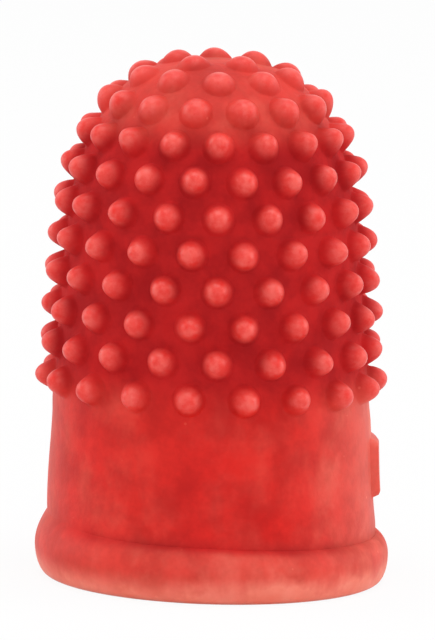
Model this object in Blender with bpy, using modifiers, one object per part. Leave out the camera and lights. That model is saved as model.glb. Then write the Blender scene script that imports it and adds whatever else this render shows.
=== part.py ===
"""A rubber finger cone, standing on its open mouth, tip up.

The real thing is one rubber moulding. It is modelled here as its moulded zones, each a solid of
its own: a rolled rim, a plain collar, one ring for each row of grip nubs, and a domed tip cap.
The rubber flexes in two ways. The grip rings lean on the collar about a bend centre, across a seam
that is part of a sphere about that centre. The tip presses straight down into the hollow, across a
seam that is a cylinder. Units are metres, +Z is up and the mouth is at height zero.
"""

import math

import bmesh
import bpy
from mathutils import Matrix, Vector

# Driving dimensions of the rolled rim
RIM_BULGE = 0.00068
RIM_HEIGHT = 0.0031
RIM_LAND = 0.0009
MOUTH_LEAD = 0.0004

# Driving dimensions of the wall, from the rim to the top of the dome
COLLAR_FOOT_RADIUS = 0.0090
COLLAR_TOP_RADIUS = 0.00865
COLLAR_TOP_HEIGHT = 0.0098
SHOULDER_RADIUS = 0.00797
SHOULDER_HEIGHT = 0.0185
DOME_RISE = 0.0094
DOME_FULLNESS = 2.6
WALL = 0.0013

# Driving dimensions of the grip nubs and of their rows
NUB_HEIGHT = 0.00106
NUB_SHOULDER_RADIUS = 0.00054
NUB_SHOULDER_HEIGHT = 0.00066
NUB_TIP_RADIUS = 0.00028
NUB_SEAT = 0.00014
NUB_ROOT_DEPTH = 0.00030
NUB_ROOT_RADIUS = 0.00065
NUB_GAP = 0.0006
ROW_GAP = 0.00008
FIRST_ROW = 0.00115
CROWN_ROW = 0.00214
ROW_COUNT = 11
NUBS_ROUND = 18
NUB_TURN = math.radians(2.4)

# Where the rubber flexes
BEND_HEIGHT = 0.0030
SEAM_GAP = 0.0003

# Facets
RING_STEPS = 36
NUB_SIDES = 8
RIM_ARC_STEPS = 8
TAPER_SAMPLES = 40
DOME_SAMPLES = 160
RING_SEGMENTS = 1
CAP_SEGMENTS = 3
MERGE_DISTANCE = 0.000001
SMOOTH_ANGLE = math.radians(40.0)
FULL_TURN = 2.0 * math.pi
QUARTER_TURN = 0.5 * math.pi
FRONT = -QUARTER_TURN + NUB_TURN

# Rubber finish
RIM_RED = (0.72, 0.085, 0.065, 1.0)
COLLAR_RED = (0.58, 0.026, 0.026, 1.0)
GRIP_RED = (0.50, 0.022, 0.022, 1.0)
TIP_RED = (0.72, 0.075, 0.055, 1.0)
RUBBER_ROUGHNESS = 0.55


def clear_scene():
    """Remove whatever the file holds, so that the model starts empty."""
    for item in list(bpy.data.objects):
        bpy.data.objects.remove(item, do_unlink=True)


def new_collection(name):
    """A collection of this name in the scene."""
    collection = bpy.data.collections.new(name)
    bpy.context.scene.collection.children.link(collection)
    return collection


def rubber(name, colour):
    """The matt rubber of one zone."""
    material = bpy.data.materials.new(name + "_rubber")
    material.use_nodes = True
    shader = material.node_tree.nodes["Principled BSDF"]
    shader.inputs["Base Color"].default_value = colour
    shader.inputs["Roughness"].default_value = RUBBER_ROUGHNESS
    shader.inputs["Metallic"].default_value = 0.0
    return material


def taper_radius(height):
    """Outer radius of the tapering grip wall, as if it ran on straight past the shoulder."""
    slope = (SHOULDER_RADIUS - COLLAR_TOP_RADIUS) / (SHOULDER_HEIGHT - COLLAR_TOP_HEIGHT)
    return COLLAR_TOP_RADIUS + slope * (height - COLLAR_TOP_HEIGHT)


def collar_radius(height):
    """Outer radius of the plain collar."""
    slope = (COLLAR_TOP_RADIUS - COLLAR_FOOT_RADIUS) / (COLLAR_TOP_HEIGHT - RIM_HEIGHT)
    return COLLAR_FOOT_RADIUS + slope * (height - RIM_HEIGHT)


def dome_point(depth, turn):
    """Point of the dome, this deep under its skin, from the shoulder (turn 0) to the pole."""
    power = 2.0 / DOME_FULLNESS
    height = SHOULDER_HEIGHT + (DOME_RISE - depth) * math.sin(turn) ** power
    radius = (taper_radius(height) - depth) * max(0.0, math.cos(turn)) ** power
    return Vector((radius, height))


def wall_samples():
    """Pairs of outer and inner points, close together, from the collar's top to the pole."""
    pairs = []
    for step in range(TAPER_SAMPLES):
        height = COLLAR_TOP_HEIGHT + (SHOULDER_HEIGHT - COLLAR_TOP_HEIGHT) * step / TAPER_SAMPLES
        radius = taper_radius(height)
        pairs.append((Vector((radius, height)), Vector((radius - WALL, height))))
    for step in range(DOME_SAMPLES + 1):
        turn = QUARTER_TURN * step / DOME_SAMPLES
        pairs.append((dome_point(0.0, turn), dome_point(WALL, turn)))
    return pairs


class GripWall:
    """The wall above the collar, measured by the distance along its outer side."""

    def __init__(self):
        self.pairs = wall_samples()
        self.reach = [0.0]
        for before, after in zip(self.pairs, self.pairs[1:]):
            self.reach.append(self.reach[-1] + (after[0] - before[0]).length)

    def length(self):
        return self.reach[-1]

    def pair(self, distance):
        """The outer and inner points at this distance up the wall."""
        last = len(self.pairs) - 1
        upper = next((i for i in range(1, last) if self.reach[i] >= distance), last)
        span = self.reach[upper] - self.reach[upper - 1]
        share = min(1.0, (distance - self.reach[upper - 1]) / span)
        below, above = self.pairs[upper - 1], self.pairs[upper]
        return below[0].lerp(above[0], share), below[1].lerp(above[1], share)

    def outer(self, distance):
        return self.pair(distance)[0]

    def inner(self, distance):
        return self.pair(distance)[1]

    def tilt(self, distance):
        """Angle of the outward normal above the horizontal at this distance."""
        step = self.length() / DOME_SAMPLES
        run = self.outer(min(distance + step, self.length())) - self.outer(max(distance - step, 0.0))
        return math.atan2(-run.x, run.y)

    def distance_where(self, side, test):
        """The first distance at which the outer (0) or inner (1) side passes a test."""
        low, high = 0.0, self.length()
        while high - low > MERGE_DISTANCE:
            middle = 0.5 * (low + high)
            if test(self.pair(middle)[side]):
                high = middle
            else:
                low = middle
        return high


def row_distances(wall):
    """Distances of the rows of nubs up the wall, spread evenly."""
    return stops(FIRST_ROW, wall.length() - CROWN_ROW, ROW_COUNT - 1)


def half_pitch(rows):
    """Half the distance between one row and the next."""
    return 0.5 * (rows[1] - rows[0])


def nub_base_radius(rows):
    """A nub's foot fills its row but for half the gap to the next row, so no nub leaves its ring."""
    return half_pitch(rows) - 0.5 * ROW_GAP


def row_numbers(rows):
    """The numbers of the grip rings' rows, then those of the crown ring's and the tip cap's row."""
    *grip, crown, cap = range(len(rows))
    return grip, crown, cap


def turned(name, profile, collection):
    """A solid turned about Z from a closed profile, or from one that starts and ends on the axis."""
    mesh = bpy.data.meshes.new(name)
    points = [(point.x, 0.0, point.y) for point in profile]
    on_axis = profile[0].x < MERGE_DISTANCE
    edges = [(i, i + 1) for i in range(len(points) - 1)]
    if not on_axis:
        edges.append((len(points) - 1, 0))
    mesh.from_pydata(points, edges, [])
    item = bpy.data.objects.new(name, mesh)
    collection.objects.link(item)
    screw = item.modifiers.new("turned", "SCREW")
    screw.axis = "Z"
    screw.steps = RING_STEPS
    screw.render_steps = RING_STEPS
    screw.use_merge_vertices = True
    screw.merge_threshold = MERGE_DISTANCE
    return item


def settle(item, colour):
    """Apply an object's modifiers, shade it smooth up to its real edges and give it its rubber."""
    graph = bpy.context.evaluated_depsgraph_get()
    mesh = bpy.data.meshes.new_from_object(item.evaluated_get(graph))
    mesh.name = item.name
    item.modifiers.clear()
    item.data = mesh
    mesh.shade_smooth()
    mesh.set_sharp_from_angle(angle=SMOOTH_ANGLE)
    mesh.materials.clear()
    mesh.materials.append(rubber(item.name, colour))
    return item


def hide_tool(item):
    """Mark an object as a tool that only shapes others."""
    item.hide_render = True
    item.display_type = "WIRE"


def combine(item, tool, operation):
    """Join or trim an object with a tool."""
    change = item.modifiers.new(operation.lower(), "BOOLEAN")
    change.operation = operation
    change.solver = "EXACT"
    change.object = tool


def rolled_rim(collection):
    """The bead round the mouth: a flat land to stand on, a round outside and a lead-in inside."""
    half = 0.5 * RIM_HEIGHT
    bore = COLLAR_FOOT_RADIUS - WALL
    profile = []
    for step in range(RIM_ARC_STEPS + 1):
        turn = QUARTER_TURN - math.pi * step / RIM_ARC_STEPS
        radius = COLLAR_FOOT_RADIUS + RIM_BULGE * math.cos(turn)
        profile.append(Vector((radius, half + half * math.sin(turn))))
    profile.append(Vector((COLLAR_FOOT_RADIUS - RIM_LAND, 0.0)))
    profile.append(Vector((bore, MOUTH_LEAD)))
    profile.append(Vector((bore, RIM_HEIGHT)))
    return settle(turned("rolled_rim", profile, collection), RIM_RED)


def bend_reach():
    """Radius of the sphere that ends the collar, about the bend centre."""
    return math.hypot(COLLAR_TOP_RADIUS, COLLAR_TOP_HEIGHT - BEND_HEIGHT)


def plain_collar(wall, collection):
    """The smooth band above the rim. Its top is part of the sphere about the bend centre."""
    reach = bend_reach()

    def past_sphere(point):
        return math.hypot(point.x, point.y - BEND_HEIGHT) > reach

    inner_top = wall.inner(wall.distance_where(1, past_sphere))
    middle_height = 0.5 * (COLLAR_TOP_HEIGHT + RIM_HEIGHT)
    profile = [
        Vector((COLLAR_TOP_RADIUS, COLLAR_TOP_HEIGHT)),
        Vector((collar_radius(middle_height), middle_height)),
        Vector((COLLAR_FOOT_RADIUS, RIM_HEIGHT)),
        Vector((COLLAR_FOOT_RADIUS - WALL, RIM_HEIGHT)),
        Vector((COLLAR_TOP_RADIUS - WALL, COLLAR_TOP_HEIGHT)),
        inner_top,
    ]
    return settle(turned("plain_collar", profile, collection), COLLAR_RED)


def nub_mesh(rows, tools):
    """One blunt nub on +Z: a cone with a rounded end, and a narrowing root that sits in the wall."""
    profile = [
        Vector((0.0, NUB_HEIGHT)),
        Vector((NUB_TIP_RADIUS, NUB_HEIGHT)),
        Vector((NUB_SHOULDER_RADIUS, NUB_SHOULDER_HEIGHT)),
        Vector((nub_base_radius(rows), -NUB_SEAT)),
        Vector((NUB_ROOT_RADIUS, -NUB_ROOT_DEPTH)),
        Vector((0.0, -NUB_ROOT_DEPTH)),
    ]
    nub = turned("nub", profile, tools)
    nub.modifiers["turned"].steps = NUB_SIDES
    nub.modifiers["turned"].render_steps = NUB_SIDES
    hide_tool(nub)
    graph = bpy.context.evaluated_depsgraph_get()
    return bpy.data.meshes.new_from_object(nub.evaluated_get(graph))


def nub_row(number, wall, rows, nub, tools):
    """All the nubs of one row, standing square to the wall. Alternate rows are staggered."""
    distance = rows[number]
    base = wall.outer(distance)
    room = FULL_TURN * base.x / (2.0 * nub_base_radius(rows) + NUB_GAP)
    count = min(NUBS_ROUND, round(room))
    pitch = FULL_TURN / count
    stagger = 0.5 * pitch if number % 2 == 0 else 0.0
    start = FRONT + stagger
    lean = Matrix.Rotation(QUARTER_TURN - wall.tilt(distance), 4, "Y")
    seat = Matrix.Translation((base.x, 0.0, base.y)) @ lean
    shape = bmesh.new()
    for index in range(count):
        placed = nub.copy()
        placed.transform(Matrix.Rotation(start + index * pitch, 4, "Z") @ seat)
        shape.from_mesh(placed)
        bpy.data.meshes.remove(placed)
    mesh = bpy.data.meshes.new("nub_row_%d" % number)
    shape.to_mesh(mesh)
    shape.free()
    row = bpy.data.objects.new(mesh.name, mesh)
    tools.objects.link(row)
    hide_tool(row)
    print("row", number, "nubs", count, "height", round(base.y, 5), "radius", round(base.x, 5))
    return row


def wall_profile(wall, outer_stops, inner_stops):
    """Closed profile of a stretch of wall: down its outer side, then up its inner side."""
    outside = [wall.outer(stop) for stop in reversed(outer_stops)]
    inside = [wall.inner(stop) for stop in inner_stops]
    return outside + inside


def stops(low, high, segments):
    """Distances that divide a stretch of wall into straight segments."""
    return [low + (high - low) * i / segments for i in range(segments + 1)]


def ring_profile(wall, low, high):
    """Profile of a ring between two pairs of distances, each for the outer and the inner side."""
    outer_stops = stops(low[0], high[0], RING_SEGMENTS)
    inner_stops = stops(low[1], high[1], RING_SEGMENTS)
    return wall_profile(wall, outer_stops, inner_stops)


def lowest_stops(wall):
    """Distances at which the first ring starts, outside and inside, clear of the collar's sphere."""
    reach = bend_reach() + SEAM_GAP

    def past_gap(point):
        return math.hypot(point.x, point.y - BEND_HEIGHT) > reach

    return wall.distance_where(0, past_gap), wall.distance_where(1, past_gap)


def press_stops(wall, distance, offset):
    """Distances at which a cylinder through the press seam, plus an offset, meets each side."""
    radius = wall.outer(distance).x + offset

    def inside_cylinder(point):
        return point.x < radius

    return wall.distance_where(0, inside_cylinder), wall.distance_where(1, inside_cylinder)


def press_cylinder(wall, distance, offset, tools):
    """A tall cylinder on the press seam, as a tool."""
    radius = wall.outer(distance).x + offset
    bottom = SHOULDER_HEIGHT
    top = SHOULDER_HEIGHT + DOME_RISE + 2.0 * NUB_HEIGHT
    profile = [
        Vector((0.0, top)),
        Vector((radius, top)),
        Vector((radius, bottom)),
        Vector((0.0, bottom)),
    ]
    cylinder = turned("press_seam", profile, tools)
    hide_tool(cylinder)
    return cylinder


def press_seam(rows):
    """Distance of the press seam: half a pitch below the crown ring's row."""
    crown = row_numbers(rows)[1]
    return rows[crown] - half_pitch(rows)


def grip_rings(wall, rows, nub, collection, tools):
    """One ring of wall for each row of nubs between the collar and the press seam."""
    half = half_pitch(rows)
    numbers = row_numbers(rows)[0]
    rings = []
    for number in numbers:
        low = (rows[number] - half, rows[number] - half)
        high = (rows[number] + half, rows[number] + half)
        if number == numbers[0]:
            low = lowest_stops(wall)
        if number == numbers[-1]:
            high = press_stops(wall, press_seam(rows), SEAM_GAP)
        ring = turned("grip_ring_%d" % (number + 1), ring_profile(wall, low, high), collection)
        combine(ring, nub_row(number, wall, rows, nub, tools), "UNION")
        if number == numbers[-1]:
            combine(ring, press_cylinder(wall, press_seam(rows), SEAM_GAP, tools), "DIFFERENCE")
        rings.append(settle(ring, GRIP_RED))
    return rings


def crown_ring(wall, rows, nub, collection, tools):
    """The lower ring of the tip, trimmed to a plug that slides inside the last grip ring."""
    _, crown, cap = row_numbers(rows)
    split = rows[cap] - half_pitch(rows)
    low = press_stops(wall, press_seam(rows), 0.0)
    ring = turned("crown_ring", ring_profile(wall, low, (split, split)), collection)
    combine(ring, nub_row(crown, wall, rows, nub, tools), "UNION")
    combine(ring, press_cylinder(wall, press_seam(rows), 0.0, tools), "INTERSECT")
    return settle(ring, TIP_RED)


def tip_cap(wall, rows, nub, collection, tools):
    """The closed top of the dome, with the innermost row of nubs."""
    number = row_numbers(rows)[-1]
    cap_stops = stops(rows[number] - half_pitch(rows), wall.length(), CAP_SEGMENTS)
    cap = turned("tip_cap", wall_profile(wall, cap_stops, cap_stops), collection)
    combine(cap, nub_row(number, wall, rows, nub, tools), "UNION")
    return settle(cap, TIP_RED)


def carry(name, place, items, collection):
    """Put an empty on a joint's axis and hang the pieces that move with it on that empty."""
    empty = bpy.data.objects.new(name, None)
    empty.location = place
    collection.objects.link(empty)
    bpy.context.view_layer.update()
    for item in items:
        item.parent = empty
        item.matrix_parent_inverse = empty.matrix_world.inverted()
    return empty


def main():
    clear_scene()
    parts = new_collection("finger_cone")
    tools = new_collection("shaping_tools")
    wall = GripWall()
    rows = row_distances(wall)
    nub = nub_mesh(rows, tools)
    rolled_rim(parts)
    plain_collar(wall, parts)
    rings = grip_rings(wall, rows, nub, parts, tools)
    crown = crown_ring(wall, rows, nub, parts, tools)
    cap = tip_cap(wall, rows, nub, parts, tools)
    grip_centre = carry("bend_centre", (0.0, 0.0, BEND_HEIGHT), rings, parts)
    press_centre = carry("press_centre", (0.0, 0.0, SHOULDER_HEIGHT), [crown, cap], parts)
    press_centre.parent = grip_centre
    press_centre.matrix_parent_inverse = grip_centre.matrix_world.inverted()
    print("row pitch", round(rows[1] - rows[0], 6), "nub foot radius", round(nub_base_radius(rows), 6))


main()
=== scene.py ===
# %% [markdown]
# # A red rubber finger cone
# A finger cone is a soft rubber cap with rows of small nubs. It is worn on a fingertip to turn and
# count paper. The real one is a single moulding that stands mouth down on its rolled rim.
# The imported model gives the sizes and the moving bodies. This lesson lays one unbroken rubber skin
# over those bodies, gives it a finish, and lights it like a plain studio picture.

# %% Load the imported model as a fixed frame
import math

import bpy
import numpy as np
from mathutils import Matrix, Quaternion, Vector


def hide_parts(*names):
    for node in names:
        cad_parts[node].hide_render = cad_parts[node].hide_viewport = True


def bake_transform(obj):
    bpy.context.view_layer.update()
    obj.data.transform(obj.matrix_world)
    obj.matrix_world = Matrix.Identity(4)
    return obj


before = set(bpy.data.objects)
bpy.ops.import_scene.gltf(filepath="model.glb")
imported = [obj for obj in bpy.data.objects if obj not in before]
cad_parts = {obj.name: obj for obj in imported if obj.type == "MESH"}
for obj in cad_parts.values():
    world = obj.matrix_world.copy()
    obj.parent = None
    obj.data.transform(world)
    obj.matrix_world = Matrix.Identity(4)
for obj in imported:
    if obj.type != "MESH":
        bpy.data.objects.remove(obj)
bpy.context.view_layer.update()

# %% [markdown]
# ## The camera
# The picture was taken from slightly above, with a long lens, so the cone shows almost no
# perspective. A camera could be placed by eye and nudged. Here its place was worked out once from
# the cone's outline, and it is written as a distance, a rise and a small roll. The camera is then
# slid sideways and down a little until the cone sits where it does in the picture.

# %% Camera
PHOTO_WIDTH, PHOTO_HEIGHT = 435, 640
CAMERA_DISTANCE = 0.400
CAMERA_RISE = math.radians(8.25)
CAMERA_ROLL = math.radians(1.7)
PIXELS_PER_METRE = 18330.0
AIM_POINT = Vector((0.0, 0.0, 0.0145))
AIM_PIXEL = (214.7, 312.8)
SENSOR_WIDTH = 36.0

camera_data = bpy.data.cameras.new("photo_camera")
camera_data.sensor_width = SENSOR_WIDTH
camera_data.lens = PIXELS_PER_METRE * CAMERA_DISTANCE * SENSOR_WIDTH / PHOTO_HEIGHT
camera = bpy.data.objects.new("photo_camera", camera_data)
bpy.context.scene.collection.objects.link(camera)
bpy.context.scene.camera = camera

towards_camera = Vector((0.0, -math.cos(CAMERA_RISE), math.sin(CAMERA_RISE)))
camera_turn = (-towards_camera).to_track_quat("-Z", "Y") @ Quaternion((0, 0, 1), CAMERA_ROLL)
slide = Vector((0.5 * PHOTO_WIDTH - AIM_PIXEL[0], AIM_PIXEL[1] - 0.5 * PHOTO_HEIGHT, 0.0))
camera.rotation_mode = "QUATERNION"
camera.rotation_quaternion = camera_turn
camera.location = AIM_POINT + towards_camera * CAMERA_DISTANCE
camera.location += camera_turn @ (slide / PIXELS_PER_METRE)
print("camera lens", round(camera_data.lens, 1), "mm at", [round(v, 4) for v in camera.location])

# %% [markdown]
# ## The shape of the wall
# Cut the cone in half and its wall is one line: a plain collar, a grip that tapers, and a full dome.
# A lathe-like modifier could turn that line into a body, but the nubs have to grow out of it later.
# So the line is kept as numbers: many close points, with the distance of each one along the wall.
# Any place on the skin is then a distance up the wall and an angle round the axis.

# %% Wall profile
COLLAR_FOOT_RADIUS = 0.0090
COLLAR_TOP_RADIUS = 0.00865
COLLAR_TOP_HEIGHT = 0.0098
SHOULDER_RADIUS = 0.00797
SHOULDER_HEIGHT = 0.0185
DOME_RISE = 0.0094
DOME_FULLNESS = 2.6
WALL = 0.0013
RIM_HEIGHT = 0.0031
TAPER_SAMPLES = 200
DOME_SAMPLES = 900
QUARTER_TURN = 0.5 * math.pi
FULL_TURN = 2.0 * math.pi


def taper_radius(height):
    """Radius of the tapering grip, as if it ran on straight past the shoulder."""
    slope = (SHOULDER_RADIUS - COLLAR_TOP_RADIUS) / (SHOULDER_HEIGHT - COLLAR_TOP_HEIGHT)
    return COLLAR_TOP_RADIUS + slope * (height - COLLAR_TOP_HEIGHT)


def collar_radius(height):
    """Radius of the plain collar."""
    slope = (COLLAR_TOP_RADIUS - COLLAR_FOOT_RADIUS) / (COLLAR_TOP_HEIGHT - RIM_HEIGHT)
    return COLLAR_FOOT_RADIUS + slope * (height - RIM_HEIGHT)


def wall_line(depth):
    """Radii and heights of the wall this deep under its skin, from the collar's top to the pole."""
    power = 2.0 / DOME_FULLNESS
    low = np.linspace(COLLAR_TOP_HEIGHT, SHOULDER_HEIGHT, TAPER_SAMPLES, endpoint=False)
    turn = np.linspace(0.0, QUARTER_TURN, DOME_SAMPLES + 1)
    high = SHOULDER_HEIGHT + (DOME_RISE - depth) * np.sin(turn) ** power
    closing = np.maximum(np.cos(turn), 0.0) ** power
    closing[-1] = 0.0
    radii = np.concatenate([taper_radius(low) - depth, (taper_radius(high) - depth) * closing])
    return radii, np.concatenate([low, high])


wall_r, wall_z = wall_line(0.0)
wall_s = np.concatenate([[0.0], np.cumsum(np.hypot(np.diff(wall_r), np.diff(wall_z)))])
WALL_LENGTH = wall_s[-1]
along_r, along_z = np.gradient(wall_r, wall_s), np.gradient(wall_z, wall_s)
wall_tilt = np.arctan2(-along_r, along_z)
print("wall from collar to pole:", round(WALL_LENGTH * 1000, 2), "mm")

# %% [markdown]
# ## Lower nubs on the dome
# Towards the top of the dome the nubs of a finger cone are lower, so its outline is smoother there.
# The tips could be cut down, but then the cone would lose height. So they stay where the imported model
# has them, and the rubber between them thickens slowly from the dome's foot to the pole.

# %% Skin line
DOME_LIFT = 0.0005
LIFT_START, LIFT_END = 0.0085, 0.0031


def smooth_step(value):
    """A soft step from 0 to 1."""
    value = np.clip(value, 0.0, 1.0)
    return value * value * (3.0 - 2.0 * value)


def wall_lift(s):
    """How much thicker the rubber is at these distances up the wall."""
    from_pole = WALL_LENGTH - s
    return DOME_LIFT * smooth_step((LIFT_START - from_pole) / (LIFT_START - LIFT_END))


skin_r = wall_r + wall_lift(wall_s) * np.cos(wall_tilt)
skin_z = wall_z + wall_lift(wall_s) * np.sin(wall_tilt)
print("rubber added at the pole:", round(float(wall_lift(WALL_LENGTH)) * 1000, 2), "mm")

# %% [markdown]
# ## Places on the wall
# Three helpers are all that the rest needs. One turns a distance and an angle into a point of the
# skin, one gives the outward direction there, and one drops any point back onto the skin. The test
# at the end sends two places there and back.

# %% Places on the wall
TEST_DISTANCES, TEST_ANGLES = np.array([0.004, 0.012]), np.array([0.3, 1.0])


def wall_point(s, angle):
    """Points on the skin at these distances up the wall and angles round it."""
    radius, height = np.interp(s, wall_s, skin_r), np.interp(s, wall_s, skin_z)
    return np.stack([radius * np.cos(angle), radius * np.sin(angle), height + 0.0 * angle], axis=-1)


def wall_normal(s, angle):
    """Outward directions at these places."""
    tilt = np.interp(s, wall_s, wall_tilt)
    flat = np.cos(tilt)
    return np.stack([flat * np.cos(angle), flat * np.sin(angle), np.sin(tilt) + 0.0 * angle], axis=-1)


def drop_on_wall(points):
    """The distance up the wall and the angle of the skin's nearest place to each point."""
    radius = np.hypot(points[..., 0], points[..., 1])
    gap_r, gap_z = radius[..., None] - skin_r, points[..., 2][..., None] - skin_z
    nearest = np.argmin(gap_r**2 + gap_z**2, axis=-1)
    off_r, off_z = radius - skin_r[nearest], points[..., 2] - skin_z[nearest]
    s = wall_s[nearest] + off_r * along_r[nearest] + off_z * along_z[nearest]
    return np.clip(s, 0.0, WALL_LENGTH), np.arctan2(points[..., 1], points[..., 0])


found_distances, _ = drop_on_wall(wall_point(TEST_DISTANCES, TEST_ANGLES))
print("4 and 12 mm up the wall, found again:", np.round(found_distances * 1000, 4))

# %% [markdown]
# ## The rows of nubs
# Eleven rows stand evenly up the wall. Each row is turned half a pitch against the one below, so the
# nubs form diamonds. Near the top a row has less room, so it holds fewer nubs.
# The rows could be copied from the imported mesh, but its nubs have eight flat sides. Repeating the
# rule that made them puts round nubs in exactly the same places.

# %% Rows
ROW_COUNT = 11
NUBS_ROUND = 18
FIRST_ROW = 0.00115
CROWN_ROW = 0.00214
ROW_GAP = 0.00008
NUB_GAP = 0.0006
FRONT = -QUARTER_TURN + math.radians(2.4)

row_s = np.linspace(FIRST_ROW, WALL_LENGTH - CROWN_ROW, ROW_COUNT)
ROW_PITCH = row_s[1] - row_s[0]


def nubs_in_row(s):
    """How many nubs fit round the wall at this distance."""
    room = FULL_TURN * np.interp(s, wall_s, wall_r) / (ROW_PITCH - ROW_GAP + NUB_GAP)
    return min(NUBS_ROUND, round(float(room)))


row_nubs = [nubs_in_row(s) for s in row_s]
print("row pitch", round(ROW_PITCH * 1000, 3), "mm, nubs per row", row_nubs)

# %% [markdown]
# ## One nub
# A nub is a blunt cone about 1.1 mm tall. A ball rounds its tip, and a wide fillet joins its foot to
# the wall, as in any moulding that has to come out of its mould.
# The outline is a list of rings, each with a radius and a height. The foot's radius follows from the
# ball, the fillet and the slope of the cone between them, so the three always meet smoothly.

# %% Nub outline
NUB_HEIGHT = 0.00106
NUB_BALL = 0.00052
NUB_FILLET = 0.00030
NUB_SLOPE = math.radians(20.0)
FILLET_RINGS = 5
CONE_RINGS = 2
BALL_RINGS = 7


def nub_outline():
    """Radii and heights of a nub's rings, from its foot to just under its tip."""
    centre = NUB_HEIGHT - NUB_BALL
    side = NUB_BALL + NUB_FILLET + math.sin(NUB_SLOPE) * (centre - NUB_FILLET)
    foot = side / math.cos(NUB_SLOPE)
    rings = []
    for turn in np.linspace(0.0, QUARTER_TURN - NUB_SLOPE, FILLET_RINGS):
        rings.append((foot - NUB_FILLET * math.sin(turn), NUB_FILLET * (1.0 - math.cos(turn))))
    ball = []
    for turn in np.linspace(NUB_SLOPE, QUARTER_TURN, BALL_RINGS, endpoint=False):
        ball.append((NUB_BALL * math.cos(turn), centre + NUB_BALL * math.sin(turn)))
    cone = np.linspace(rings[-1], ball[0], CONE_RINGS + 2)[1:-1]
    return np.array(rings + list(map(tuple, cone)) + ball)


nub_rings = nub_outline()
print("nub rings", len(nub_rings), "foot radius", round(nub_rings[0, 0] * 1000, 3), "mm")

# %% [markdown]
# ## A skin of rings
# The skin is built from closed rings of points. Two rings with the same number of points are joined
# by four-sided faces. Two rings with different numbers are zipped together with triangles.
# A remesh could do this without thought, but it would need millions of faces to keep the nubs round.

# %% Skin builder


class Skin:
    """Points and faces of one piece of rubber, with how far up a nub each point stands."""

    def __init__(self):
        self.points, self.rise = [], []
        self.faces, self.finishes = [], []
        self.finish = 0

    def add(self, points, rise=0.0):
        """Adds points and returns their numbers."""
        points = np.asarray(points, float).reshape(-1, 3)
        first = len(self.points)
        self.points.extend(map(tuple, points))
        self.rise.extend([rise] * len(points))
        return list(range(first, len(self.points)))

    def face(self, *corners):
        """Adds one face in the finish of the moment."""
        self.faces.append(corners)
        self.finishes.append(self.finish)

    def join(self, before, after):
        """Joins two closed rings that both start at the front."""
        if len(before) == len(after):
            for i in range(len(before)):
                k = (i + 1) % len(before)
                self.face(before[i], before[k], after[k], after[i])
            return after
        i = k = 0
        while i < len(before) or k < len(after):
            low, high = before[i % len(before)], after[k % len(after)]
            if (i + 1) / len(before) <= (k + 1) / len(after):
                i += 1
                self.face(low, before[i % len(before)], high)
            else:
                k += 1
                self.face(low, after[k % len(after)], high)
        return after

    def close(self, ring, pole, ends_here):
        """Closes a ring on a single point, where the path along the wall ends or starts."""
        for i in range(len(ring)):
            a, b = ring[i], ring[(i + 1) % len(ring)]
            self.face(*((a, b, pole) if ends_here else (pole, b, a)))


def ring_angles(count):
    """Angles of a ring's points, starting at the front."""
    return FRONT + FULL_TURN * np.arange(count) / count


print("skin builder ready, rings start at", round(math.degrees(FRONT), 1), "degrees")

# %% [markdown]
# ## The cell round each nub
# Each nub stands in a cell of wall, like a tile. The rings inside a cell start as the tile's edge and
# turn into circles by the time they reach the foot of the nub, and from there they climb the nub.
# Tiles share their edge points with their neighbours, so the skin has no gaps. Soft rubber is fuller
# than a drawn cone, so the outline is broadened part of the way to a bell, most on the dome. No two
# moulded nubs are alike, so a seeded random draw changes each one's width, height and lean a little.

# %% Nub cells
EDGE_STEPS = 10
SIDE_STEPS = 6
UNEVEN_WIDTH = 0.04
UNEVEN_HEIGHT = 0.07
UNEVEN_LEAN = 0.09
STIFF_FROM = 0.45 * NUB_HEIGHT
BELL_POWER = 0.85
GRIP_BELL = 0.60
DOME_BELLS = (0.80, 0.90, 0.90)
row_bells = np.full(ROW_COUNT, GRIP_BELL)
row_bells[-len(DOME_BELLS):] = DOME_BELLS
NUB_SEED = 7
nub_draw = np.random.default_rng(NUB_SEED)


def nub_frame(s, angle):
    """A nub's seat, its axis, and the directions round and up the wall there."""
    place, axis = wall_point(np.array(s), np.array(angle)), wall_normal(np.array(s), np.array(angle))
    sideways = np.array([-math.sin(angle), math.cos(angle), 0.0])
    return place, axis, sideways, np.cross(axis, sideways)


def bell_radii(heights):
    """Radii of a softer, broader nub, a bell with the same foot and height."""
    return nub_rings[0, 0] * np.sqrt(1.0 - (heights / NUB_HEIGHT) ** (1.0 / BELL_POWER))


def nub_points(s, angle, turns, bell):
    """Rings of points up one nub, for these directions round it, and its tip."""
    place, axis, sideways, upward = nub_frame(s, angle)
    width, height = 1.0 + np.array((UNEVEN_WIDTH, UNEVEN_HEIGHT)) * nub_draw.uniform(-1, 1, 2)
    lean = UNEVEN_LEAN * nub_draw.uniform(-1, 1, 2)
    stem = axis + lean[0] * sideways + lean[1] * upward
    upper = smooth_step(nub_rings[:, 1] / STIFF_FROM)
    radii = nub_rings[:, 0] + bell * (bell_radii(nub_rings[:, 1]) - nub_rings[:, 0])
    radii = radii * (1.0 + (width - 1.0) * upper)
    height *= 1.0 - wall_lift(s) / NUB_HEIGHT
    heights = nub_rings[:, 1] * height
    spokes = np.cos(turns)[:, None] * sideways + np.sin(turns)[:, None] * upward
    flat = place + radii[:, None, None] * spokes
    on_s, on_angle = drop_on_wall(flat)
    soft = wall_point(on_s, on_angle) + heights[:, None, None] * wall_normal(on_s, on_angle)
    stiff = flat + heights[:, None, None] * stem
    share = smooth_step(heights / STIFF_FROM)[:, None, None]
    return soft + share * (stiff - soft), place + NUB_HEIGHT * height * stem, on_s[0], on_angle[0]


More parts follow.
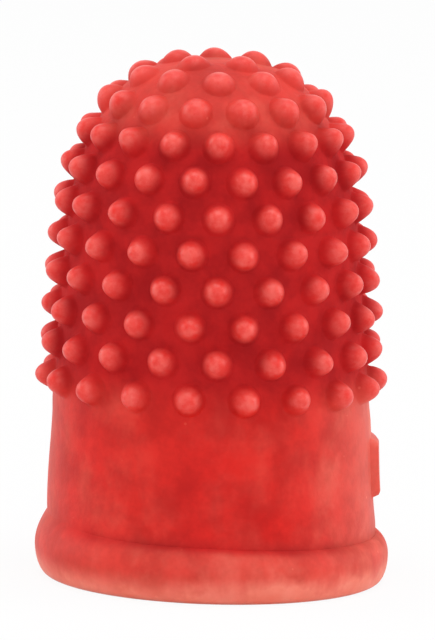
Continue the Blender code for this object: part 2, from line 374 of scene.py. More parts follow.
def fill_cell(skin, number, angle, loop, loop_s, loop_angle):
    """One nub of a row and the wall round it, inside a closed loop of shared edge points."""
    s = row_s[number]
    place, _, sideways, upward = nub_frame(s, angle)
    spread = wall_point(loop_s, loop_angle) - place
    turns = np.arctan2(spread @ upward, spread @ sideways)
    rings, tip, foot_s, foot_angle = nub_points(s, angle, turns, row_bells[number])
    foot_angle = loop_angle + (foot_angle - loop_angle + math.pi) % FULL_TURN - math.pi
    middle = wall_point(0.5 * (loop_s + foot_s), 0.5 * (loop_angle + foot_angle))
    ring = skin.join(loop, skin.add(middle))
    for points, height in zip(rings, nub_rings[:, 1]):
        ring = skin.join(ring, skin.add(points, rise=height / NUB_HEIGHT))
    skin.close(ring, skin.add(tip, rise=1.0)[0], ends_here=True)


def add_row(skin, number, bottom, s_low, s_high):
    """One row of cells above a finished ring. Returns the ring that ends it."""
    count = row_nubs[number]
    steps = count * EDGE_STEPS
    top = skin.add(wall_point(np.full(steps, s_high), ring_angles(steps)))
    pitch = FULL_TURN / count
    corner = 0 if number % 2 == 0 else -EDGE_STEPS // 2
    side_s = np.linspace(s_low, s_high, SIDE_STEPS + 1)[1:-1]
    edge = np.arange(EDGE_STEPS + 1)
    sides = []
    for k in range(count):
        line = FRONT + (corner / EDGE_STEPS + k) * pitch
        sides.append(skin.add(wall_point(side_s, np.full(SIDE_STEPS - 1, line))))
    for k in range(count):
        first = corner + k * EDGE_STEPS
        left = FRONT + first * pitch / EDGE_STEPS
        around = [(first + q) % steps for q in edge]
        right_side, left_side = sides[(k + 1) % count], sides[k]
        loop = [bottom[q] for q in around] + right_side
        loop += [top[q] for q in reversed(around)] + left_side[::-1]
        spans = left + edge * pitch / EDGE_STEPS
        at_right, at_left = np.full(len(side_s), spans[-1]), np.full(len(side_s), left)
        at_low, at_high = np.full(len(edge), s_low), np.full(len(edge), s_high)
        loop_angle = np.concatenate([spans, at_right, spans[::-1], at_left])
        loop_s = np.concatenate([at_low, side_s, at_high, side_s[::-1]])
        fill_cell(skin, number, left + 0.5 * pitch, loop, loop_s, loop_angle)
    return top


print("points round each nub:", 2 * (EDGE_STEPS + SIDE_STEPS))

# %% [markdown]
# ## Where the skin is cut in two
# The rubber bends at the collar and dents at the tip, and a piece can follow only one joint. So the
# skin is two pieces that meet on a ring between two rows of nubs, where both follow the same body.
# A pair of rows with unlike numbers of nubs gets a thin zipped strip between them.

# %% Row edges
SEAM_ROW = 5
STRIP = 0.00003


def row_edges(number):
    """The distances at which a row's cells start and end."""
    low, high = row_s[number] - 0.5 * ROW_PITCH, row_s[number] + 0.5 * ROW_PITCH
    if number > 0 and row_nubs[number - 1] != row_nubs[number]:
        low += STRIP
    if number + 1 < ROW_COUNT and row_nubs[number + 1] != row_nubs[number]:
        high -= STRIP
    return low, high


def add_rows(skin, numbers, ring):
    """Several rows, one above the other, on a ring that already stands at the first row's foot."""
    for number in numbers:
        low, high = row_edges(number)
        steps = row_nubs[number] * EDGE_STEPS
        if len(ring) != steps:
            ring = skin.join(ring, skin.add(wall_point(np.full(steps, low), ring_angles(steps))))
        ring = add_row(skin, number, ring, low, high)
    return ring


inner_r, inner_z = wall_line(WALL)
SEAM_S = row_edges(SEAM_ROW)[0]
SEAM_HEIGHT = float(np.interp(SEAM_S, wall_s, wall_z))
SEAM_STEPS = row_nubs[SEAM_ROW] * EDGE_STEPS
print("the two pieces meet", round(SEAM_HEIGHT * 1000, 2), "mm above the mouth")

# %% [markdown]
# ## The rolled rim and the collar
# The rim is a bead that the mould rolls round the mouth. It sits on a narrow flat land. On most of its
# way it meets the collar in a crease, and on one side it swells out of the collar in a soft curve.
# One formula gives both: a power of a circle, whose height and roundness change slowly round the
# cone. The collar waves by a few hundredths of a millimetre, and a low plain pad stands on one side.

# %% Rim and collar outline
RIM_BULGE = 0.00068
RIM_LAND = 0.0009
MOUTH_LEAD = 0.0004
RIM_SWELL = 0.00148
CRISP_SWELL, SOFT_SWELL = -0.00040, 0.00042
SWELL_POWER = 0.78
CRISP_POWER, SOFT_POWER = -0.22, 0.42
SOFT_SIDE = 4
ROUND_STEPS = 360
BEAD_RINGS = 12
SWELL_RINGS = 14
COLLAR_RINGS = 52
WAVE_HEIGHT, WAVE_FADE = 0.000025, 0.001
WAVES = ((1.0, 3.0, 900.0, 0.0), (0.7, 7.0, -600.0, 1.0))
PAD_RISE = 0.00042
PAD_ANGLE = math.radians(5.0)
PAD_HALF_WIDTH = 0.0021
PAD_LOW, PAD_HIGH = 0.0047, 0.0080
PAD_EDGE = 0.00025


def by_side(angle, front, crisp, soft):
    """A value round the cone: the front's, more or less on the crisp side and on the soft side."""
    across = np.cos(angle)
    return front + crisp * np.maximum(across, 0.0) + soft * np.maximum(-across, 0.0) ** SOFT_SIDE


def crease_height(angle):
    """The height at which the bead has died into the collar."""
    return 0.5 * RIM_HEIGHT + by_side(angle, RIM_SWELL, CRISP_SWELL, SOFT_SWELL)


def swell_bulge(up, angle):
    """How far the bead stands out of the collar, from 0 at its widest line to 1 at the collar."""
    return RIM_BULGE * max(1.0 - up * up, 0.0) ** by_side(angle, SWELL_POWER, CRISP_POWER, SOFT_POWER)


def pad_share(height, angle):
    """1 on the plain pad, 0 off it, with soft edges."""
    across = COLLAR_FOOT_RADIUS * np.abs((angle - PAD_ANGLE + math.pi) % FULL_TURN - math.pi)
    sides = smooth_step((PAD_HALF_WIDTH - across) / PAD_EDGE)
    ends = smooth_step((height - PAD_LOW) / PAD_EDGE) * smooth_step((PAD_HIGH - height) / PAD_EDGE)
    return sides * ends


def collar_wave(height, angle):
    """Slow waves of the collar, fading out at its two ends."""
    waves = [share * np.sin(turns * angle + climb * height + start) for share, turns, climb, start in WAVES]
    low = smooth_step((height - RIM_HEIGHT) / WAVE_FADE)
    return WAVE_HEIGHT * sum(waves) * low * smooth_step((COLLAR_TOP_HEIGHT - height) / WAVE_FADE)


def turned_ring(skin, radius, height, angle):
    """A ring of points, with one radius and height for all or one for each."""
    points = [radius * np.cos(angle), radius * np.sin(angle), height + 0.0 * angle]
    return skin.add(np.stack(points, axis=-1))


print("rim bulge", RIM_BULGE * 1000, "mm, pad rise", PAD_RISE * 1000, "mm")

# %% [markdown]
# ## The lower piece: rim, collar and first rows
# The path of rings starts inside, at the cut, and runs down the bore, round the mouth and up the
# outside to the cut again. A last band between the two cut rings closes the piece.

# %% Lower piece
BORE_RINGS = 24
LAND_RINGS = 4
LEAD_RINGS = 6
FOOT_RINGS = 4


def add_bore(skin, ring):
    """Down the inside from the cut to the mouth's lead-in."""
    angle = ring_angles(ROUND_STEPS)
    bore_z = np.concatenate([[RIM_HEIGHT], inner_z])
    bore_r = np.concatenate([[COLLAR_FOOT_RADIUS - WALL], inner_r])
    for height in np.linspace(SEAM_HEIGHT, RIM_HEIGHT, BORE_RINGS)[1:]:
        ring = skin.join(ring, turned_ring(skin, np.interp(height, bore_z, bore_r), height, angle))
    land = COLLAR_FOOT_RADIUS - RIM_LAND
    lead = land - (COLLAR_FOOT_RADIUS - WALL)
    for turn in np.linspace(0.0, QUARTER_TURN, LEAD_RINGS):
        radius, height = land - lead * math.cos(turn), MOUTH_LEAD * (1.0 - math.sin(turn))
        ring = skin.join(ring, turned_ring(skin, radius, height, angle))
    return ring


def add_bead(skin, ring):
    """Across the flat land and round the bead to the collar."""
    angle = ring_angles(ROUND_STEPS)
    half = 0.5 * RIM_HEIGHT
    for radius in np.linspace(COLLAR_FOOT_RADIUS - RIM_LAND, COLLAR_FOOT_RADIUS, LAND_RINGS)[1:-1]:
        ring = skin.join(ring, turned_ring(skin, radius, 0.0, angle))
    for turn in np.linspace(-QUARTER_TURN, 0.0, BEAD_RINGS, endpoint=False):
        radius = COLLAR_FOOT_RADIUS + RIM_BULGE * math.cos(turn)
        ring = skin.join(ring, turned_ring(skin, radius, half + half * math.sin(turn), angle))
    for up in np.sin(np.linspace(0.0, QUARTER_TURN, SWELL_RINGS)):
        height = half + up * (crease_height(angle) - half)
        wall = np.minimum(collar_radius(height), COLLAR_FOOT_RADIUS)
        ring = skin.join(ring, turned_ring(skin, wall + swell_bulge(up, angle), height, angle))
    return ring


def add_collar(skin, ring):
    """Up the plain collar, pad included, to the foot of the first row."""
    angle = ring_angles(ROUND_STEPS)
    start = crease_height(angle)
    for share in np.linspace(0.0, 1.0, COLLAR_RINGS)[1:]:
        height = start + share * (COLLAR_TOP_HEIGHT - start)
        wall = np.minimum(collar_radius(height), COLLAR_FOOT_RADIUS)
        radius = wall + collar_wave(height, angle) + PAD_RISE * pad_share(height, angle)
        ring = skin.join(ring, turned_ring(skin, radius, height, angle))
    foot = row_edges(0)[0]
    for s in np.linspace(0.0, foot, FOOT_RINGS)[1:-1]:
        ring = skin.join(ring, skin.add(wall_point(np.full(ROUND_STEPS, s), angle)))
    steps = row_nubs[0] * EDGE_STEPS
    return skin.join(ring, skin.add(wall_point(np.full(steps, foot), ring_angles(steps))))


def lower_skin():
    """The closed skin of rim, collar and first rows."""
    skin = Skin()
    skin.finish = 1
    seam_radius = np.interp(SEAM_HEIGHT, inner_z, inner_r)
    start = turned_ring(skin, seam_radius, SEAM_HEIGHT, ring_angles(SEAM_STEPS))
    ring = add_bore(skin, start)
    skin.finish = 0
    ring = add_collar(skin, add_bead(skin, ring))
    ring = add_rows(skin, range(SEAM_ROW), ring)
    skin.join(ring, start)
    return skin


sleeve_skin = lower_skin()
print("lower piece:", len(sleeve_skin.points), "points", len(sleeve_skin.faces), "faces")

# %% [markdown]
# ## The upper piece: last rows and dome
# This path starts at the top of the hollow, runs down the inside to the cut, and then climbs the
# outside row by row to the pole.

# %% Upper piece
DOME_RINGS = 30
POLE_RINGS = 4


def upper_skin():
    """The closed skin of the last rows and the dome."""
    skin = Skin()
    skin.finish = 1
    angle = ring_angles(SEAM_STEPS)
    start = int(np.searchsorted(inner_z, SEAM_HEIGHT))
    picks = np.linspace(len(inner_z) - 1, start, DOME_RINGS).astype(int)[1:]
    pole = skin.add((0.0, 0.0, inner_z[-1]))[0]
    ring = turned_ring(skin, inner_r[picks[0]], inner_z[picks[0]], angle)
    skin.close(ring, pole, ends_here=False)
    for pick in picks[1:]:
        ring = skin.join(ring, turned_ring(skin, inner_r[pick], inner_z[pick], angle))
    seam_radius = np.interp(SEAM_HEIGHT, inner_z, inner_r)
    ring = skin.join(ring, turned_ring(skin, seam_radius, SEAM_HEIGHT, angle))
    skin.finish = 0
    ring = skin.join(ring, skin.add(wall_point(np.full(SEAM_STEPS, SEAM_S), angle)))
    ring = add_rows(skin, range(SEAM_ROW, ROW_COUNT), ring)
    for s in np.linspace(row_edges(ROW_COUNT - 1)[1], WALL_LENGTH, POLE_RINGS)[1:-1]:
        ring = skin.join(ring, skin.add(wall_point(np.full(len(ring), s), ring_angles(len(ring)))))
    skin.close(ring, skin.add((0.0, 0.0, skin_z[-1]))[0], ends_here=True)
    return skin


tip_skin = upper_skin()
print("upper piece:", len(tip_skin.points), "points", len(tip_skin.faces), "faces")

# %% [markdown]
# ## Where the rubber is pale and where it is deep
# Rubber pales where it blooms, and some light and shade is painted into its colour as well. So every
# point keeps two shares for the finish. The bloom share is bloom plus painted light: a painted sheen
# on two sides of the collar, a painted reflection on the bead, painted bounce from the floor low on the
# bead and painted light from above over the dome. The hollow share is painted shade on the wall between
# the nubs, less on the dome, with a painted shade line in the bead's crease.
# Both could be painted by hand in Blender. Written as sums of soft patches they stay easy to change.

# %% Bloom-and-painted-light and painted-shade shares
# Painted light and shade: the collar patches on the right and left sides are painted sheen; the ones at the
# back and front-left are bloom. The bead's share is bloom and a painted reflection. The foot's share is
# painted floor bounce, and the dome's share is painted light from above. The hollow values are painted
# shade between the nubs, and the crease values make a painted shade line.
BLOOM_AND_SHEEN_PATCHES = ((-8.0, 32.0, 0.58), (187.0, 22.0, 0.32), (95.0, 45.0, 0.30), (-117.0, 17.0, 0.06))
COLLAR_BLOOM = 0.01
BEAD_BLOOM_AND_SHEEN, BEAD_HIDES = 0.24, 0.75
CRISP_FADE, SOFT_FADE = 0.0004, 0.0016
FOOT_BOUNCE_LIGHT, FOOT_TOP = 1.25, 0.0017
DOME_TOP_LIGHT, DOME_FROM, DOME_FADE = 0.21, 0.0239, 0.0019
DOME_HOLLOW_SHADE = 0.35
GRIP_FADE = 0.0024
CREASE_SHADE, CREASE_WIDTH = 0.7, 0.00035


def bloom_and_painted_light_share(points):
    """How much bloom, painted sheen, painted reflection and painted light lies on each point."""
    angle, height = np.arctan2(points[:, 1], points[:, 0]), points[:, 2]
    collar = np.full(len(points), COLLAR_BLOOM)
    for middle, width, strength in BLOOM_AND_SHEEN_PATCHES:
        away = (angle - math.radians(middle) + math.pi) % FULL_TURN - math.pi
        collar += strength * np.exp(-((away / math.radians(width)) ** 2))
    bead = smooth_step((crease_height(angle) - height) / by_side(angle, CRISP_FADE, 0.0, SOFT_FADE))
    below_grip = smooth_step((COLLAR_TOP_HEIGHT + GRIP_FADE - height) / GRIP_FADE)
    share = collar * (1.0 - BEAD_HIDES * bead) * below_grip
    # Bead: bloom and a painted reflection.
    share += BEAD_BLOOM_AND_SHEEN * bead
    # Painted bounce from the white floor, palest at the bottom of the bead.
    share += FOOT_BOUNCE_LIGHT * smooth_step((FOOT_TOP - height) / FOOT_TOP)
    # Painted light from above over the dome.
    return share + DOME_TOP_LIGHT * smooth_step((height - DOME_FROM) / DOME_FADE)


def hollow_shade_share(points):
    """Painted shade: 1 between the grip's nubs, less on the dome and in the bead's crease, 0 elsewhere."""
    angle, height = np.arctan2(points[:, 1], points[:, 0]), points[:, 2]
    grip = smooth_step((height - COLLAR_TOP_HEIGHT) / GRIP_FADE)
    below_dome = smooth_step((DOME_FROM + DOME_FADE - height) / DOME_FADE)
    grip = grip * (DOME_HOLLOW_SHADE + (1.0 - DOME_HOLLOW_SHADE) * below_dome)
    above = (height - crease_height(angle)) / CREASE_WIDTH
    # Painted shade line along the bead's crease, fading out on the soft side.
    return grip + by_side(angle, CREASE_SHADE, 0.0, -CREASE_SHADE) * np.exp(-above * above)


for name, skin in (("lower", sleeve_skin), ("upper", tip_skin)):
    points = np.array(skin.points)
    means = bloom_and_painted_light_share(points).mean(), hollow_shade_share(points).mean()
    print(name, "piece, mean bloom and hollow shares:", np.round(means, 3))

# %% [markdown]
# ## From points to Blender meshes
# The lists become two mesh objects, with the shares as named attributes that a material can read.
# Soft rubber never stands quite plumb, so the grip sits a few tenths of a millimetre off its rim.
# Creases are kept only at real edges.

# %% Meshes
CREASE = math.radians(50.0)
SWAY_FOOT, SWAY = 0.00026, 0.00056
SWAY_TOP, SWAY_BEND = 0.029, 2.2


def rubber_piece(name, skin):
    """A mesh object from a skin, with its shares."""
    points = np.array(skin.points)
    shares = {
        "nub_rise": skin.rise,
        "bloom_and_painted_light_share": bloom_and_painted_light_share(points),
        "hollow_shade_share": hollow_shade_share(points),
    }
    points[:, 0] += SWAY_FOOT - SWAY * (1.0 - (1.0 - points[:, 2] / SWAY_TOP) ** SWAY_BEND)
    mesh = bpy.data.meshes.new(name)
    mesh.from_pydata(points, [], skin.faces)
    for label, values in shares.items():
        layer = mesh.attributes.new(label, "FLOAT", "POINT")
        layer.data.foreach_set("value", np.array(values, np.float32))
    mesh.polygons.foreach_set("material_index", np.array(skin.finishes, np.int32))
    mesh.shade_smooth()
    mesh.set_sharp_from_angle(angle=CREASE)
    mesh.update()
    piece = bpy.data.objects.new(name, mesh)
    bpy.context.scene.collection.objects.link(piece)
    return piece


nubbed_sleeve = rubber_piece("nubbed_sleeve", sleeve_skin)
domed_tip = rubber_piece("domed_tip", tip_skin)
for piece in (nubbed_sleeve, domed_tip):
    triangles = sum(len(p.vertices) - 2 for p in piece.data.polygons)
    print(piece.name, triangles, "triangles")

# %% [markdown]
# ## Bloom: a dusty haze on rubber
# Natural rubber sweats a pale bloom that is rubbed off in places, so its red is never even. The haze
# has soft patches and faint upright streaks from the mould, and a few specks of dust stick to it.
# Patches and streaks are noise, and the specks are the middles of a few Voronoi cells. All are read
# in the object's own space. Two materials use them, so they are one node group with its own inputs.

# %% Bloom group


def node_group(name, inputs, output):
    """A shader node group with float inputs, one vector input for the place, and one float output."""
    group = bpy.data.node_groups.new(name, "ShaderNodeTree")
    group.interface.new_socket("Place", in_out="INPUT", socket_type="NodeSocketVector")
    for label, value in inputs.items():
        socket = group.interface.new_socket(label, in_out="INPUT", socket_type="NodeSocketFloat")
        socket.default_value = value
    group.interface.new_socket(output, in_out="OUTPUT", socket_type="NodeSocketFloat")
    return group, group.nodes.new("NodeGroupInput"), group.nodes.new("NodeGroupOutput")


def add_node(tree, kind, **settings):
    """A new node with these settings."""
    node = tree.nodes.new(kind)
    for label, value in settings.items():
        setattr(node, label, value)
    return node


def noise(tree, place, scale, detail, roughness):
    """A noise texture at a place, with its scale from a socket or a number."""
    node = add_node(tree, "ShaderNodeTexNoise")
    tree.links.new(place, node.inputs["Vector"])
    if isinstance(scale, float):
        node.inputs["Scale"].default_value = scale
    else:
        tree.links.new(scale, node.inputs["Scale"])
    node.inputs["Detail"].default_value = detail
    node.inputs["Roughness"].default_value = roughness
    return node.outputs["Fac"]


def maths(tree, operation, first, second):
    """A math node on two sockets or numbers."""
    node = add_node(tree, "ShaderNodeMath", operation=operation)
    for slot, value in zip(node.inputs, (first, second)):
        if isinstance(value, float):
            slot.default_value = value
        else:
            tree.links.new(value, slot)
    return node.outputs[0]


def ramp(tree, value, low, high):
    """A soft step from 0 at low to 1 at high."""
    node = add_node(tree, "ShaderNodeMapRange", interpolation_type="SMOOTHSTEP")
    tree.links.new(value, node.inputs["Value"])
    node.inputs["From Min"].default_value = low
    node.inputs["From Max"].default_value = high
    return node.outputs["Result"]


# Each noise has a detail and a roughness, and each step the values where a ramp starts and ends.
BLOOM_SCALES = {"Patch Scale": 300.0, "Streak Scale": 700.0, "Dust Scale": 1500.0}
PATCH_NOISE, STREAK_NOISE = (4.0, 0.6), (3.0, 0.5)
PATCH_STEP, STREAK_STEP, SPECK_STEP = (0.40, 0.70), (0.25, 0.75), (0.16, 0.06)
STREAK_STRETCH = (1.0, 1.0, 0.3)
DUSTY_CELLS = 0.88

bloom_group, bloom_in, bloom_out = node_group("rubber_bloom", BLOOM_SCALES, "Haze")
patches = noise(bloom_group, bloom_in.outputs["Place"], bloom_in.outputs["Patch Scale"], *PATCH_NOISE)
drawn_out = add_node(bloom_group, "ShaderNodeMapping", vector_type="POINT")
drawn_out.inputs["Scale"].default_value = STREAK_STRETCH
bloom_group.links.new(bloom_in.outputs["Place"], drawn_out.inputs["Vector"])
streaks = noise(bloom_group, drawn_out.outputs["Vector"], bloom_in.outputs["Streak Scale"], *STREAK_NOISE)
patchy, streaky = ramp(bloom_group, patches, *PATCH_STEP), ramp(bloom_group, streaks, *STREAK_STEP)
haze = maths(bloom_group, "MULTIPLY", patchy, streaky)

dust_cells = add_node(bloom_group, "ShaderNodeTexVoronoi")
bloom_group.links.new(bloom_in.outputs["Place"], dust_cells.inputs["Vector"])
bloom_group.links.new(bloom_in.outputs["Dust Scale"], dust_cells.inputs["Scale"])
cell_draw = add_node(bloom_group, "ShaderNodeSeparateColor")
bloom_group.links.new(dust_cells.outputs["Color"], cell_draw.inputs["Color"])
dusty = maths(bloom_group, "GREATER_THAN", cell_draw.outputs["Red"], DUSTY_CELLS)
near_middle = ramp(bloom_group, dust_cells.outputs["Distance"], *SPECK_STEP)
speck = maths(bloom_group, "MULTIPLY", near_middle, dusty)
haze = maths(bloom_group, "MAXIMUM", haze, speck)
bloom_group.links.new(haze, bloom_out.inputs["Haze"])
print("bloom group nodes:", len(bloom_group.nodes))

# %% [markdown]
# ## Grain: the skin of the mould
# The mould was blasted, so the rubber has a fine satin grain with a few slow dimples. It is far too
# fine to model, so it is a height that a Bump node turns into small tilts of the surface.

# %% Grain group
GRAIN_SCALES = {"Grain Scale": 9000.0, "Dimple Scale": 1400.0}
GRAIN_NOISE = (2.0, 0.5)
GRAIN_SHARE = 0.35


def scaled(tree, value, factor, base):
    """A socket times a number, plus a number or another socket."""
    return maths(tree, "ADD", maths(tree, "MULTIPLY", value, factor), base)


grain_group, grain_in, grain_out = node_group("moulded_grain", GRAIN_SCALES, "Height")
grain = noise(grain_group, grain_in.outputs["Place"], grain_in.outputs["Grain Scale"], *GRAIN_NOISE)
dimples = noise(grain_group, grain_in.outputs["Place"], grain_in.outputs["Dimple Scale"], *GRAIN_NOISE)
grain_group.links.new(scaled(grain_group, grain, GRAIN_SHARE, dimples), grain_out.inputs["Height"])
print("grain group nodes:", len(grain_group.nodes))

# %% [markdown]
# ## Mottle: rubber that was never mixed quite even
# Pigment and filler lie in slow clouds in the rubber, a millimetre or two across. One more noise,
# with more contrast in the middle, moves each red between a darker and a lighter one.

# %% Mottle group
MOTTLE_SCALES = {"Cloud Scale": 420.0}
CLOUD_NOISE, CLOUD_STEP = (4.0, 0.62), (0.30, 0.70)

mottle_group, mottle_in, mottle_out = node_group("rubber_mottle", MOTTLE_SCALES, "Lightness")
clouds = noise(mottle_group, mottle_in.outputs["Place"], mottle_in.outputs["Cloud Scale"], *CLOUD_NOISE)
mottle_group.links.new(ramp(mottle_group, clouds, *CLOUD_STEP), mottle_out.inputs["Lightness"])
print("mottle group nodes:", len(mottle_group.nodes))

# %% [markdown]
# ## Red rubber
# The outside is a saturated red, deepest and most matt between the nubs, where the deep red is painted
# shade. Nub tips are paler, blotchy and slightly polished: handling wears what stands out, and part of
# their paleness is a painted highlight. Bloom lies where the shares put it, broken up by the noise of
# the bloom group; on the collar's sides, the bead and the dome it is painted sheen, reflection and
# light. The bore is duller and chalky, from the powder that keeps it from sticking. One function starts
# both materials, and each has its own values.

# %% Rubber materials
DEEP_REDS = (0.525, 0.0050, 0.0042, 1.0), (0.735, 0.0140, 0.0090, 1.0)
# Painted shade between the nubs.
HOLLOW_SHADE_REDS = (0.388, 0.0073, 0.0092, 1.0), (0.578, 0.0155, 0.0158, 1.0)
# Tips: partly wear, partly a painted highlight.
TIP_WEAR_AND_HIGHLIGHT_REDS = (0.785, 0.030, 0.020, 1.0), (0.850, 0.104, 0.083, 1.0)
TIP_CLOUDS, TIP_STEP = 1600.0, (0.15, 1.00)
# Bloom, plus painted sheen, reflection and light wherever the bloom share puts them.
BLOOM_AND_LIGHT_REDS = (0.860, 0.200, 0.135, 1.0), (0.920, 0.270, 0.195, 1.0)
BORE_REDS = (0.370, 0.015, 0.014, 1.0), (0.450, 0.025, 0.022, 1.0)
CHALK_RED, CHALK = (0.620, 0.170, 0.150, 1.0), 0.8
BLOOM_BROKEN, BLOOM_EVEN = 0.8, 0.62
SMEAR = 0.14
RUBBER_SPECULAR = 0.16
HAZE_ROUGHNESS, SKIN_ROUGHNESS = 0.16, 0.48
HOLLOW_ROUGHNESS = 0.36
TIP_ROUGHNESS = -0.10
TIP_POLISH = 0.35
POLISH_ROUGHNESS = 0.32
CHALK_ROUGHNESS, BORE_ROUGHNESS = 0.15, 0.60
GLOW = 0.25
GLOW_DEPTH = 0.0006
GLOW_COLOUR = (1.0, 0.25, 0.20)
BUMP_DISTANCE = 0.00003
MIX_COLOURS, MIX_RESULT = (6, 7), 2


def blended(tree, share, first, second):
    """A colour between two, by a share socket."""
    node = add_node(tree, "ShaderNodeMix", data_type="RGBA")
    tree.links.new(share, node.inputs["Factor"])
    for number, value in zip(MIX_COLOURS, (first, second)):
        if isinstance(value, tuple):
            node.inputs[number].default_value = value
        else:
            tree.links.new(value, node.inputs[number])
    return node.outputs[MIX_RESULT]


def placed_group(tree, group, place, **values):
    """A node group at a place, with some of its inputs set."""
    node = add_node(tree, "ShaderNodeGroup", node_tree=group)
    tree.links.new(place, node.inputs["Place"])
    for label, value in values.items():
        node.inputs[label.replace("_", " ").title()].default_value = value
    return node.outputs[0]


def attribute(tree, label):
    """A share that the mesh carries."""
    return add_node(tree, "ShaderNodeAttribute", attribute_name=label).outputs["Fac"]


def shader_place(tree):
    """Where a point lies in its object."""
    return add_node(tree, "ShaderNodeTexCoord").outputs["Object"]


def rubber(name):
    """The shared start of a rubber material: its place, bloom, mottle and grain. Returns its parts."""
    material = bpy.data.materials.new(name)
    material.use_nodes = True
    tree = material.node_tree
    shader = tree.nodes["Principled BSDF"]
    place = shader_place(tree)
    haze, mottle = placed_group(tree, bloom_group, place), placed_group(tree, mottle_group, place)
    bump = add_node(tree, "ShaderNodeBump")
    bump.inputs["Distance"].default_value = BUMP_DISTANCE
    tree.links.new(placed_group(tree, grain_group, place), bump.inputs["Height"])
    tree.links.new(bump.outputs["Normal"], shader.inputs["Normal"])
    shader.inputs["Specular IOR Level"].default_value = RUBBER_SPECULAR
    shader.inputs["Subsurface Weight"].default_value = GLOW
    shader.inputs["Subsurface Radius"].default_value = GLOW_COLOUR
    shader.inputs["Subsurface Scale"].default_value = GLOW_DEPTH
    return material, tree, shader, haze, mottle


red_rubber, tree, shader, haze, mottle = rubber("red_rubber")
# Painted shade between the nubs and in the bead's crease; the same share also roughens the hollows.
hollow_shade = attribute(tree, "hollow_shade_share")
broken = scaled(tree, haze, BLOOM_BROKEN, BLOOM_EVEN)
# Bloom plus painted sheen, reflection and light, broken up by the bloom noise.
bloom_and_light = maths(tree, "MULTIPLY", attribute(tree, "bloom_and_painted_light_share"), broken)
smear = maths(tree, "MULTIPLY", haze, scaled(tree, hollow_shade, -SMEAR, SMEAR))
bloom_and_light = maths(tree, "MINIMUM", maths(tree, "ADD", bloom_and_light, smear), 1.0)
deep, shaded = blended(tree, mottle, *DEEP_REDS), blended(tree, mottle, *HOLLOW_SHADE_REDS)
colour = blended(tree, hollow_shade, deep, shaded)
colour = blended(tree, bloom_and_light, colour, blended(tree, mottle, *BLOOM_AND_LIGHT_REDS))
# Paler tips: partly wear, partly a painted highlight.
tip_blotches = placed_group(tree, mottle_group, shader_place(tree), cloud_scale=TIP_CLOUDS)
raised = ramp(tree, attribute(tree, "nub_rise"), *TIP_STEP)
colour = blended(tree, raised, colour, blended(tree, tip_blotches, *TIP_WEAR_AND_HIGHLIGHT_REDS))
tree.links.new(colour, shader.inputs["Base Color"])
rough = scaled(tree, haze, HAZE_ROUGHNESS, SKIN_ROUGHNESS)
sunk = maths(tree, "MULTIPLY", hollow_shade, maths(tree, "SUBTRACT", 1.0, raised))
rough = scaled(tree, sunk, HOLLOW_ROUGHNESS, rough)
rough = scaled(tree, raised, TIP_ROUGHNESS, rough)
tree.links.new(rough, shader.inputs["Roughness"])
tree.links.new(maths(tree, "MULTIPLY", raised, TIP_POLISH), shader.inputs["Coat Weight"])
shader.inputs["Coat Roughness"].default_value = POLISH_ROUGHNESS

bore_rubber, tree, shader, haze, mottle = rubber("bore_rubber")
chalk = maths(tree, "MULTIPLY", haze, CHALK)
colour = blended(tree, chalk, blended(tree, mottle, *BORE_REDS), CHALK_RED)
tree.links.new(colour, shader.inputs["Base Color"])
tree.links.new(scaled(tree, haze, CHALK_ROUGHNESS, BORE_ROUGHNESS), shader.inputs["Roughness"])

for piece in (nubbed_sleeve, domed_tip):
    piece.data.materials.append(red_rubber)
    piece.data.materials.append(bore_rubber)
print("materials:", [m.name for m in bpy.data.materials if m.name.endswith("rubber")])

# %% [markdown]
# ## The bodies under the skin
# The imported model leans on its collar and presses in at its tip, each across a thin seam. Real rubber
# stretches there instead. Here each piece has its placement baked into its points, and the imported
# parts that it covers are hidden.

# %% Bodies
GRIP_RINGS = 9
sleeve_nodes = ["rolled_rim", "plain_collar"] + ["grip_ring_%d" % k for k in range(1, SEAM_ROW + 1)]
tip_nodes = ["grip_ring_%d" % k for k in range(SEAM_ROW + 1, GRIP_RINGS + 1)]
tip_nodes += ["crown_ring", "tip_cap"]

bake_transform(nubbed_sleeve)
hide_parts(*sleeve_nodes)
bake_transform(domed_tip)
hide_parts(*tip_nodes)
print("sleeve stands for", len(sleeve_nodes), "nodes, tip for", len(tip_nodes))

# %% [markdown]
# ## The floor
# The cone stands on a plain white ground that runs out of the picture. For the camera it is nearly
# pure white, with just enough real shading left to hold the cone's soft shadow. For the light that
# bounces up from it, it is ordinary white card.

# %% Floor
FLOOR_SIZE = 3.0
FLOOR_DROP = 0.00002
CARD_WHITE = (0.90, 0.90, 0.90, 1.0)
CARD_ROUGHNESS = 0.9
SEEN_WHITE = 0.92


def seen_directly(tree):
    """1 for rays that see the background straight, in gloss or through glass, and 0 for the rest."""
    path = add_node(tree, "ShaderNodeLightPath")
    seen = maths(tree, "ADD", path.outputs["Is Camera Ray"], path.outputs["Is Glossy Ray"])
    seen = maths(tree, "ADD", seen, path.outputs["Is Transmission Ray"])
    return maths(tree, "MINIMUM", seen, 1.0)


floor_mesh = bpy.data.meshes.new("floor")
half = 0.5 * FLOOR_SIZE
square = ((-half, -half), (half, -half), (half, half), (-half, half))
corners = [(x, y, -FLOOR_DROP) for x, y in square]
floor_mesh.from_pydata(corners, [], [(0, 1, 2, 3)])
floor = bpy.data.objects.new("floor", floor_mesh)
bpy.context.scene.collection.objects.link(floor)

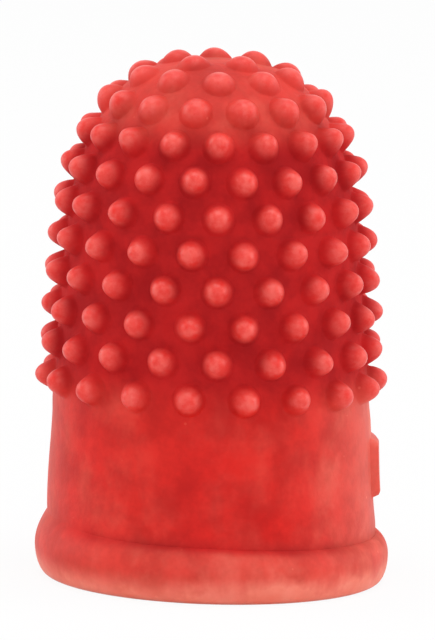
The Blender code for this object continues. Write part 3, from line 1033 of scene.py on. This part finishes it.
card = bpy.data.materials.new("white_card")
card.use_nodes = True
tree = card.node_tree
shader = tree.nodes["Principled BSDF"]
shader.inputs["Base Color"].default_value = CARD_WHITE
shader.inputs["Roughness"].default_value = CARD_ROUGHNESS
shader.inputs["Specular IOR Level"].default_value = 0.0
glow = add_node(tree, "ShaderNodeEmission")
mix = add_node(tree, "ShaderNodeMixShader")
tree.links.new(maths(tree, "MULTIPLY", seen_directly(tree), SEEN_WHITE), mix.inputs["Fac"])
tree.links.new(shader.outputs["BSDF"], mix.inputs[1])
tree.links.new(glow.outputs["Emission"], mix.inputs[2])
tree.links.new(mix.outputs["Shader"], tree.nodes["Material Output"].inputs["Surface"])
floor_mesh.materials.append(card)
print("floor", FLOOR_SIZE, "m wide")

# %% [markdown]
# ## The light
# The picture has the soft, even light of a white tent: big lights above, in front and on each side,
# and white all round. The lights on the sides stand a little behind the cone, so they graze it and
# lay a haze along both of its edges while the front keeps its deep red.
# Each light is a place, a width and a power.

# %% World and lamps
WORLD_LIGHT = 0.45
TENT_WHITE = (1.0, 1.0, 1.0, 1.0)
LIGHTS = {
    "top_softbox": ((0.0, -0.05, 0.60), 0.50, 1.75),
    "left_softbox": ((-0.50, 0.12, 0.20), 0.40, 0.82),
    "right_softbox": ((0.50, 0.05, 0.20), 0.45, 1.06),
    "front_softbox": ((0.0, -0.80, 0.35), 0.50, 1.62),
}

world = bpy.data.worlds.new("white_tent")
world.use_nodes = True
bpy.context.scene.world = world
tree = world.node_tree
tent = tree.nodes["Background"]
tent.inputs["Color"].default_value = TENT_WHITE
tent.inputs["Strength"].default_value = WORLD_LIGHT
seen_tent = add_node(tree, "ShaderNodeBackground")
seen_tent.inputs["Color"].default_value = TENT_WHITE
tent_mix = add_node(tree, "ShaderNodeMixShader")
tree.links.new(seen_directly(tree), tent_mix.inputs["Fac"])
tree.links.new(tent.outputs["Background"], tent_mix.inputs[1])
tree.links.new(seen_tent.outputs["Background"], tent_mix.inputs[2])
tree.links.new(tent_mix.outputs["Shader"], tree.nodes["World Output"].inputs["Surface"])

for label, (place, size, power) in LIGHTS.items():
    lamp = bpy.data.lights.new(label, "AREA")
    lamp.shape, lamp.size, lamp.energy = "SQUARE", size, power
    holder = bpy.data.objects.new(label, lamp)
    holder.location = place
    holder.rotation_euler = (AIM_POINT - Vector(place)).to_track_quat("-Z", "Y").to_euler()
    bpy.context.scene.collection.objects.link(holder)
bpy.context.scene.view_settings.view_transform = "Standard"
print("lights:", list(LIGHTS))
